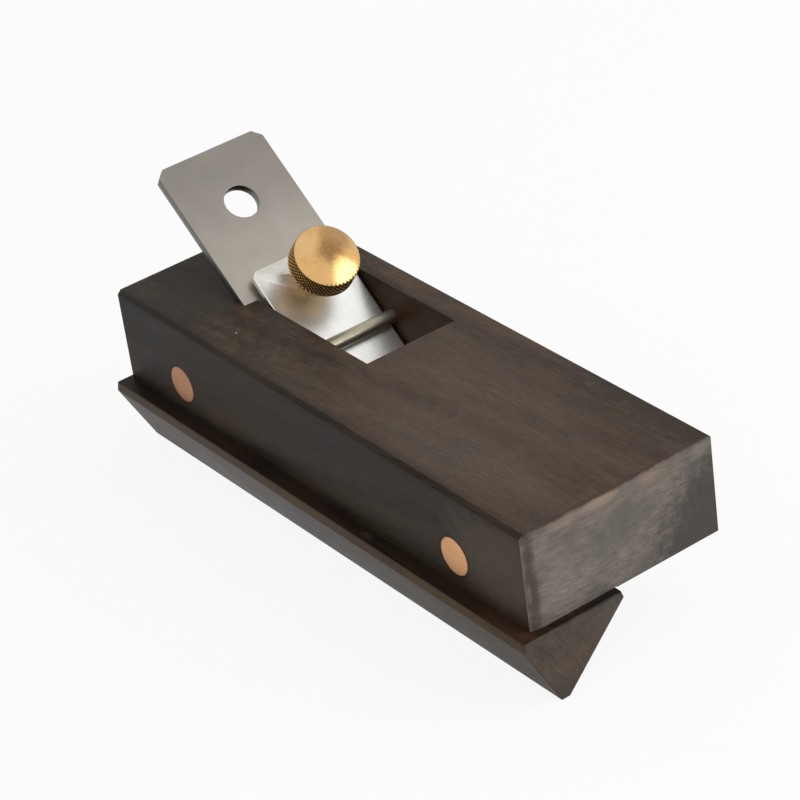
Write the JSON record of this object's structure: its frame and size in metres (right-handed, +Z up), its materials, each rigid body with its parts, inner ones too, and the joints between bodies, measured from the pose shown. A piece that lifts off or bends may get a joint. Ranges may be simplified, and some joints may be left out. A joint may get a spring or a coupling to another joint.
{
  "type": "chamfer plane",
  "caption": "Small wooden chamfer plane: a dark block with a sloping blade under a lever cap and brass thumb screw, and a slanted fence rail along its underside.",
  "frame": {"origin": "middle of the block's length and width, on the plane of its sole", "axes": "+X towards the toe, along the length; +Y across the width, away from the side that carries the fence rail; +Z up, out of the block's top"},
  "size_m": [0.155, 0.055, 0.0658],
  "materials": {
    "ebony": "oiled satin, fine straight grain",
    "dowel_copper": "sanded flush",
    "blade_steel": "fine ground along its length",
    "cap_nickel": "bright plated, finely grained",
    "pin_steel": "turned bright",
    "screw_brass": "turned and lacquered"
  },
  "bodies": {
    "stock": {"plane_block": "ebony", "fence_rail": "ebony", "front_dowel": "dowel_copper", "rear_dowel": "dowel_copper", "cross_pin": "pin_steel"},
    "blade": {"blade": "blade_steel"},
    "lever_cap": {"lever_cap": "cap_nickel"},
    "screw_shank": {"screw_shank": "screw_brass"},
    "thumb_knob": {"knurled_knob": "screw_brass"}
  },
  "joints": [
    {"name": "blade_slide", "type": "slide", "parent": "stock", "child": "blade", "axis": [0.788, 0, -0.6157], "range_m": [-0.03, 0.0008]},
    {"name": "cap_rock", "type": "hinge", "parent": "stock", "child": "lever_cap", "pos_m": [-0.028, 0.0067, 0.01558], "axis": [0, -1, 0], "range_deg": [0, 2.5]},
    {"name": "screw_travel", "type": "slide", "parent": "lever_cap", "child": "screw_shank", "axis": [0.6361, 0, 0.7716], "range_m": [0, 0.003]},
    {"name": "knob_turn", "type": "hinge", "parent": "screw_shank", "child": "thumb_knob", "pos_m": [-0.04035, 0.0067, 0.02576], "axis": [0.6361, 0, 0.7716], "range_deg": [0, 1350]}
  ],
  "couplings": [
    {"joint": "screw_travel", "follows": "knob_turn", "m_per_rad": 0.00012732},
    {"joint": "cap_rock", "follows": "knob_turn", "ratio": 0.00185}
  ]
}
